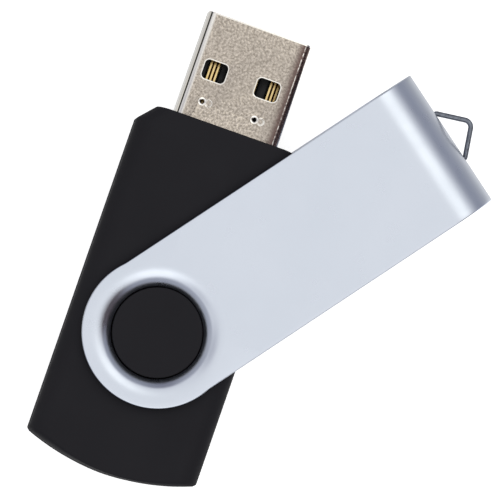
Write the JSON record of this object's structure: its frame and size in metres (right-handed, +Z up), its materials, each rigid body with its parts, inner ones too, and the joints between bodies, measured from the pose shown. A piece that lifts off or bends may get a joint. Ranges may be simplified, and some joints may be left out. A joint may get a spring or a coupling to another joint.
{
  "type": "usb flash drive",
  "caption": "USB flash drive: black plastic body with a USB-A plug, in a U-shaped sheet-metal cover that swivels around it and carries a wire key loop.",
  "frame": {"origin": "on the swivel axis, on the plane that the drive lies on, 0.48 mm below the lower face of the round boss", "axes": "+Y along the body to the tip of the USB plug, +Z up through the two bosses, +X to the right of the plug seen from above"},
  "size_m": [0.0402, 0.0527, 0.0107],
  "materials": {
    "black_plastic": "soft-touch matte",
    "anodised_aluminium": "matte silver-blue anodised",
    "steel_wire": "drawn dark steel wire",
    "nickel_plate": "grainy nickel plate",
    "insulator": "satin moulded",
    "gold_plate": "gold plated",
    "solder_mask": "green solder mask on fibreglass",
    "chip_epoxy": "matte moulded epoxy",
    "crystal_can": "bright metal can",
    "capacitor_ceramic": "ceramic with tinned ends",
    "resistor_ceramic": "ceramic with tinned ends"
  },
  "bodies": {
    "drive": {"body_upper_shell": "black_plastic", "body_lower_shell": "black_plastic", "usb_plug_shell": "nickel_plate", "usb_plug_insulator": "insulator", "usb_contact_power": "gold_plate", "usb_contact_data_minus": "gold_plate", "usb_contact_data_plus": "gold_plate", "usb_contact_ground": "gold_plate", "circuit_board": "solder_mask", "flash_memory_chip": "chip_epoxy", "controller_chip": "chip_epoxy", "crystal_oscillator": "crystal_can", "capacitor_1": "capacitor_ceramic", "capacitor_2": "capacitor_ceramic", "capacitor_3": "capacitor_ceramic", "capacitor_4": "capacitor_ceramic", "capacitor_5": "capacitor_ceramic", "capacitor_6": "capacitor_ceramic", "resistor_1": "resistor_ceramic", "resistor_2": "resistor_ceramic", "resistor_3": "resistor_ceramic", "resistor_4": "resistor_ceramic"},
    "cover": {"swivel_cover": "anodised_aluminium"},
    "loop": {"key_loop": "steel_wire"}
  },
  "joints": [
    {"name": "cover_swivel", "type": "hinge", "parent": "drive", "child": "cover", "pos_m": [0, 0, 0.00535], "axis": [0, 0, 1], "continuous": true},
    {"name": "key_loop_swing", "type": "hinge", "parent": "cover", "child": "loop", "pos_m": [0.02308, 0.0303, 0.00535], "axis": [0.7955, -0.606, 0], "range_deg": [-20, 20]}
  ]
}
